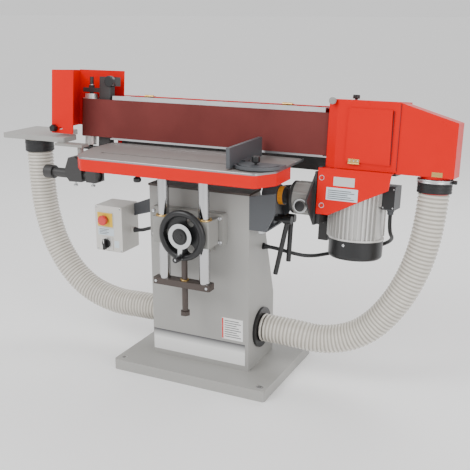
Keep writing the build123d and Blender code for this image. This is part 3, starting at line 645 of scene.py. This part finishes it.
# %% Labels and seams
plates("skirt_labels", [(470, 546, -9.7, -9, 757, 788)], FINISH["alloy"], "head", True, 0.0002)
plates("skirt_label_pale", [(446, 560, -9.7, -9, 706, 750)], FINISH["blue"], "head", True, 0.0002)
skirt_rows = [(452, 548 - 12 * (i % 3), -10.1, -9.7, 711 + 7 * i, 713.5 + 7 * i) for i in range(5)]
plates("skirt_label_rows", skirt_rows, FINISH["box"], "head", True, 0.0001)
turned("skirt_bolt_washers", [(427, -9, 781), (432, -9, 684)],
       [(7.2, -0.2), (9.5, -0.2), (9.5, 1.4), (7.2, 1.4)], "y", FINISH["zinc"], "head", True)
plates("hood_seam", [(676.2, 677.4, 21.6, 24.6, 822, 1046)], FINISH["charcoal"], "head", True, 0.0002)
plates("door_edge", [(655.2, 656.2, 17, 21.8, 842, 1022)], FINISH["charcoal"], "door", True, 0.0001)
print("labels and seams laid")

# %% Rows of screws
turned("cover_top_screws", [(x, 160, 1024) for x in range(-440, 381, 205)], screw_head(3.4, 1.4), "z",
       FINISH["zinc"], "cover", True, 20)
turned("platen_screws", [(x, 70, 1020) for x in range(-440, 381, 117)], screw_head(3.6, 0.9), "z",
       FINISH["steel"], "head", True, 20)
turned("roller_nut", [(-615, 79, 1058)], [(8.2, 0), (9, 0.2), (9, 3), (8.2, 3.4)], "z", FINISH["zinc"],
       "idler", True, 24)
print("belt head dressed")

# %% [markdown]
# ## Motor and dust port
# The motor wears a cast ring where its fins meet the fan cover, and its terminal box has a screwed lid. The
# cuff of the right hose is pulled tight by a steel worm band. Both cuffs have moulded ribs.

# %% Motor dressing
motor_x, motor_y = 533, 102
fan_cover_r, screw_turn = 96, radians(-100)
fan_screw = (motor_x + fan_cover_r * cos(screw_turn), motor_y + fan_cover_r * sin(screw_turn), 548)
turned("fan_cover_screw", [fan_screw], screw_head(5, 2), "y", FINISH["steel"], "head", True, 20)
turned("motor_ring", [(motor_x, motor_y, 563)], [(98.4, 0.5), (99.2, 1.2), (99.2, 6.8), (98.4, 7.5)], "z",
       FINISH["alloy"], "head", True, 96)
print("motor dressed")

# %% Cuffs
cuff_r, rib_r = 57.9, 58.8


def ribs(spans):
    return [q for a, b in spans for q in ((cuff_r, a), (rib_r, a + 1), (rib_r, b - 1), (cuff_r, b))]


turned("hose_band", [(800, 75, 791)],
       [(60.2, 0.4), (61.1, 0.4), (61.4, 1.4), (60.9, 2.2), (60.9, 9.8), (61.4, 10.6), (61.1, 11.6),
        (60.2, 11.6)], "z", FINISH["zinc"], "head", True, 96)
turned("cuff_ribs", [(800, 75, 757)], ribs([(1, 6), (12, 17), (23, 28)]), "z", FINISH["rubber"], "head",
       True, 96)
turned("left_cuff_ribs", [(-812, 5, 786)], ribs([(1, 6), (12, 17), (30, 37)]), "z", FINISH["rubber"],
       "table", False, 96)
print("cuffs dressed")

# %% Terminal box lid
plates("terminal_lid", [(628.5, 671.5, 56.9, 58, 684, 761)], FINISH["plastic"], "head", True, 0.0008)
turned("terminal_screws", [(x, 57, z) for x in (633, 667) for z in (690, 755)], screw_head(2.6, 0.9), "y",
       FINISH["steel"], "head", True, 16)
print("lid screwed on")

# %% [markdown]
# ## Room and light
# A wide pale floor with a faint glow of its own, a white surround, and big soft lamps from the left, the
# right and behind, as in a catalogue studio. The one on the right is the weakest and keeps the motor and
# the chute readable.

# %% Floor
bpy.ops.mesh.primitive_plane_add(size=300, location=(0, 0, -0.0005))
floor = bpy.context.object
floor.name = "floor"
paint = finish("studio floor", (0.90, 0.90, 0.90), 0.75, grain=40, depth=0.01, dark=0.01)
floor_shader = paint.node_tree.nodes["Principled BSDF"]
floor_shader.inputs["Emission Color"].default_value = (1, 1, 1, 1)
floor_shader.inputs["Emission Strength"].default_value = 0.12
floor.data.materials.append(paint)
print("floor laid")

# %% Surround and lamps
world = bpy.data.worlds.new("studio")
bpy.context.scene.world = world
world.use_nodes = True
world.node_tree.nodes["Background"].inputs["Color"].default_value = (1, 1, 1, 1)
world.node_tree.nodes["Background"].inputs["Strength"].default_value = 0.95
for name, spot, aim, size, watts in (("key", (-1.8, -3.0, 3.4), (0, 0, 0.6), 2.4, 110),
                                     ("fill", (3.2, -1.8, 1.8), (0.3, 0, 0.6), 2.0, 45),
                                     ("back", (0.5, 2.6, 3.2), (0, 0, 0.8), 2.2, 50)):
    lamp = bpy.data.objects.new(name, bpy.data.lights.new(name, "AREA"))
    lamp.data.size = size
    lamp.data.energy = watts
    lamp.location = spot
    lamp.rotation_euler = (Vector(aim) - Vector(spot)).to_track_quat("-Z", "Y").to_euler()
    bpy.context.scene.collection.objects.link(lamp)
print("room ready")
